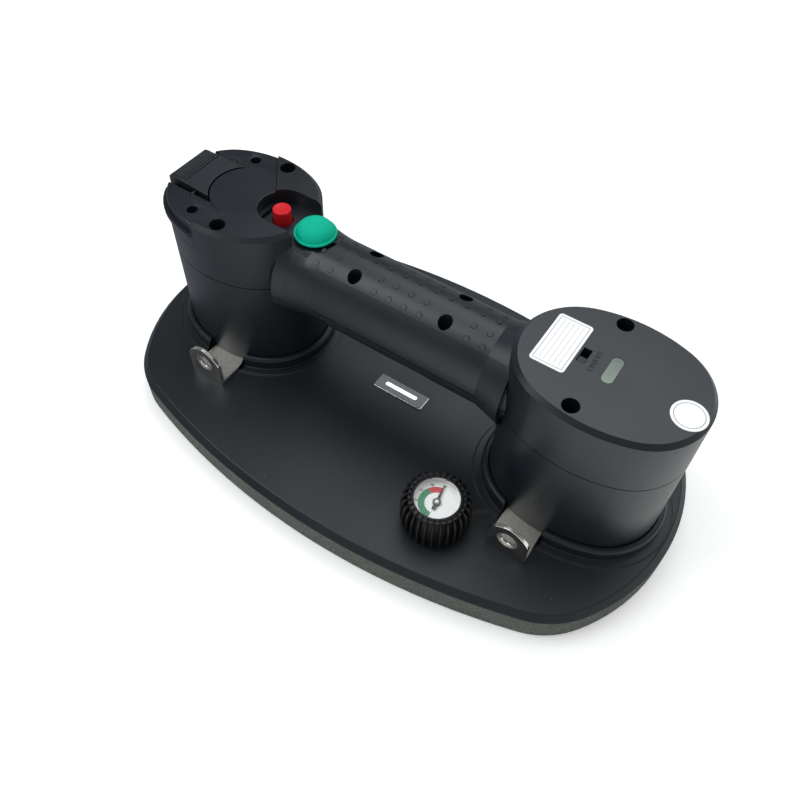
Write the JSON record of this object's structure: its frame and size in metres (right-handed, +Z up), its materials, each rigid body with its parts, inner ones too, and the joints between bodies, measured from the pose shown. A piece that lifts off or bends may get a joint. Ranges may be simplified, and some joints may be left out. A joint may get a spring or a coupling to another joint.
{
  "type": "electric vacuum suction lifter",
  "caption": "Cordless suction lifter for floor tiles: two oval towers joined by a handle on a barrel-shaped sealing plate, with a vacuum gauge, lifting lugs and a release button.",
  "frame": {"origin": "centre of the sealing plate, on the face that rests on the tile", "axes": "+X along the handle towards the pump tower, +Y away from the two lifting lugs, +Z up"},
  "size_m": [0.3, 0.178, 0.1064],
  "materials": {
    "seal_skin": "matte",
    "seal_foam": "matte foam",
    "body_plastic": "fine textured",
    "lug_steel": "satin",
    "screw_steel": "dark zinc",
    "spring_steel": "bright",
    "red_plastic": "satin",
    "green_rubber": "satin",
    "boot_rubber": "matte",
    "gauge_metal": "bright",
    "brass": "satin",
    "dial": "printed",
    "needle": "matte",
    "clear": "clear",
    "window": "frosted",
    "label": "printed film",
    "badge": "gloss",
    "black_part": "matte",
    "white_part": "matte",
    "clear_tube": "satin",
    "board": "satin",
    "cell_wrap": "satin",
    "motor_steel": "zinc plated",
    "cast": "cast"
  },
  "bodies": {
    "housing": {"seal_lip": "seal_skin", "seal_foam": "seal_foam", "base_plate": "body_plastic", "lower_housing": "body_plastic", "upper_housing": "body_plastic", "pump_lug": "lug_steel", "battery_lug": "lug_steel", "housing_screws": "screw_steel", "base_screws": "screw_steel", "terminal_block": "black_part", "terminal_blades": "brass", "valve_guide": "black_part", "release_spring": "spring_steel", "pump_switch": "black_part", "motor_can": "motor_steel", "pump_frame": "cast", "diaphragm": "boot_rubber", "pump_head": "white_part", "air_tube": "clear_tube", "inlet_filter": "white_part", "circuit_board": "board", "switch_body": "black_part", "status_window": "window", "gauge_boot": "boot_rubber", "gauge_case": "gauge_metal", "gauge_nut": "brass", "gauge_dial": "dial", "gauge_lens": "clear", "badge_plate": "badge", "rating_label": "label", "round_label": "label"},
    "battery": {"battery_case": "body_plastic", "battery_cells": "cell_wrap", "battery_cap": "body_plastic", "cap_screws": "screw_steel", "battery_contacts": "brass", "latch_pin": "screw_steel"},
    "latch": {"battery_latch": "body_plastic"},
    "release": {"release_button": "red_plastic", "valve_stem": "white_part"},
    "start_button": {"pump_button": "green_rubber"},
    "slider": {"power_slider": "black_part"},
    "crank": {"motor_shaft": "spring_steel", "eccentric": "cast"},
    "rod": {"connecting_rod": "white_part"},
    "pointer": {"gauge_pointer": "needle"}
  },
  "joints": [
    {"name": "battery_pull", "type": "slide", "parent": "housing", "child": "battery", "axis": [0, 0, 1], "range_m": [0, 0.09]},
    {"name": "latch_rock", "type": "hinge", "parent": "battery", "child": "latch", "pos_m": [-0.115, 0.0015, 0.1031], "axis": [0, 1, 0], "range_deg": [-4.5, 0], "stiffness_Nm_per_rad": 0.05, "springref_deg": 11.46},
    {"name": "release_press", "type": "slide", "parent": "housing", "child": "release", "axis": [0, 0, -1], "range_m": [0, 0.003], "stiffness_N_per_m": 800, "springref_m": -0.002, "deforming": ["release_spring"]},
    {"name": "start_press", "type": "slide", "parent": "housing", "child": "start_button", "axis": [0, 0, -1], "range_m": [0, 0.0012], "stiffness_N_per_m": 900, "springref_m": -0.0015},
    {"name": "switch_slide", "type": "slide", "parent": "housing", "child": "slider", "axis": [0, 1, 0], "range_m": [0, 0.0036]},
    {"name": "crank_spin", "type": "hinge", "parent": "housing", "child": "crank", "pos_m": [0.086, 0, 0.07], "axis": [0, 0, 1], "continuous": true},
    {"name": "rod_turn", "type": "hinge", "parent": "crank", "child": "rod", "pos_m": [0.0875, 0, 0.074], "axis": [0, 0, 1], "continuous": true},
    {"name": "pointer_swing", "type": "hinge", "parent": "housing", "child": "pointer", "pos_m": [0.0525, -0.0535, 0.0335], "axis": [0, 0, 1], "range_deg": [0, 175], "stiffness_Nm_per_rad": 0.00001}
  ],
  "couplings": [
    {"joint": "rod_turn", "follows": "crank_spin", "ratio": -1}
  ]
}
